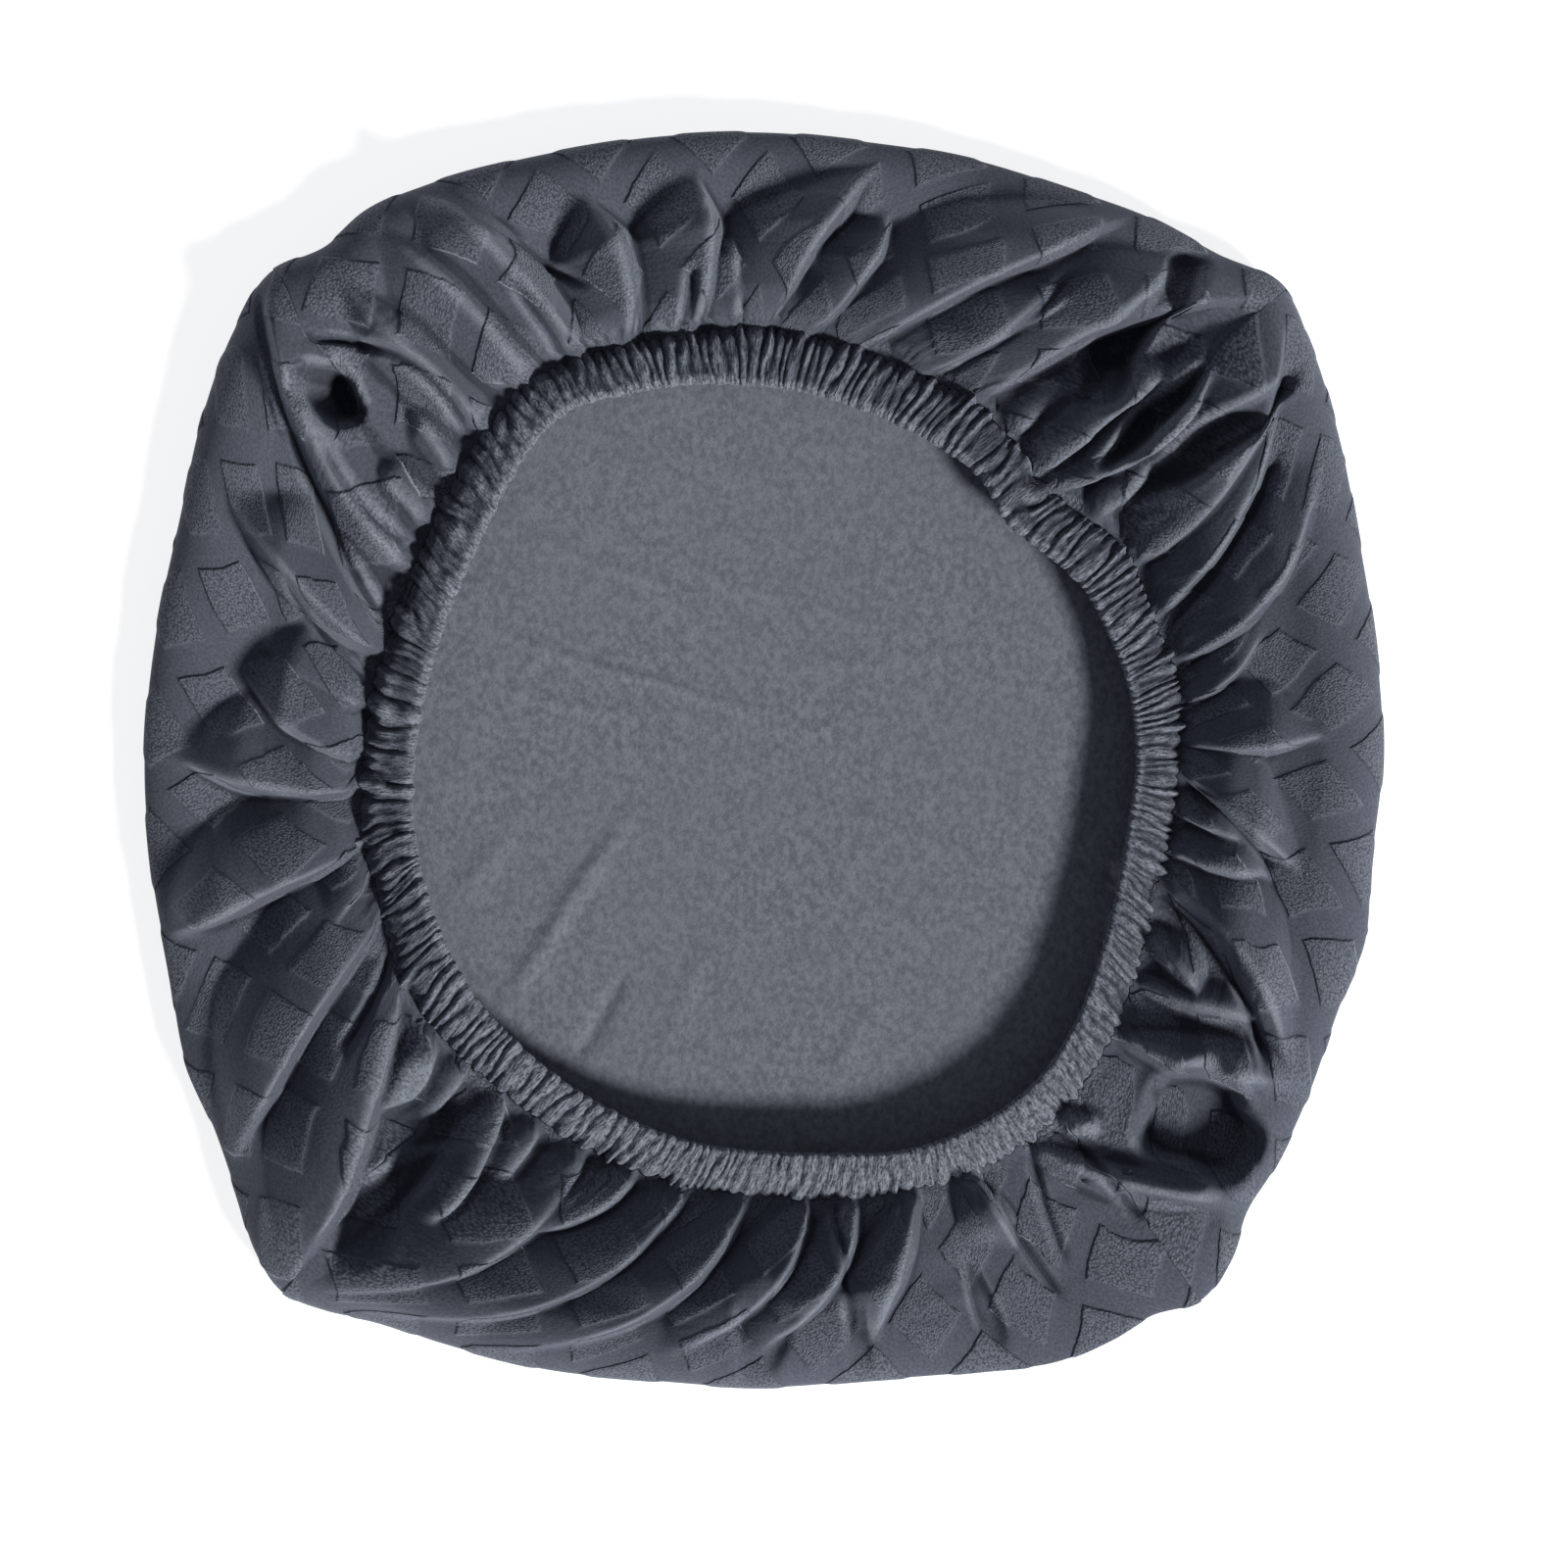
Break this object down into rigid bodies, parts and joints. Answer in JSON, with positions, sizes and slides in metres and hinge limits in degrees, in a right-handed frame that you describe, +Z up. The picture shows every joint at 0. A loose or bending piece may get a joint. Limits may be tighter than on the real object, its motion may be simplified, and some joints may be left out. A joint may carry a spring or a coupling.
{
  "type": "elasticated chair seat cover",
  "caption": "Slip-on quilted stretch fabric seat cover, lying face down, with gathered corners and an elastic hem round its open mouth.",
  "frame": {"origin": "bottom centre of the cover's box, on the surface the cover lies on", "axes": "+Z up through the open mouth, square to the flat seat panel; +Y and +X along the panel's two widths"},
  "size_m": [0.442, 0.4474, 0.042],
  "materials": {
    "fabric": "matt stretch jacquard, raised diamonds",
    "thread": "matt sewing thread",
    "elastic": "covered elastic"
  },
  "bodies": {
    "root": {"seat_panel": "fabric", "skirt_back": "fabric", "skirt_left": "fabric", "skirt_front": "fabric", "skirt_right": "fabric", "hem_casing": "fabric", "corner_seam_a": "thread", "corner_seam_b": "thread", "corner_seam_c": "thread", "corner_seam_d": "thread", "hem_stitching": "thread", "elastic_splice": "thread", "elastic_band": "elastic"}
  },
  "joints": []
}
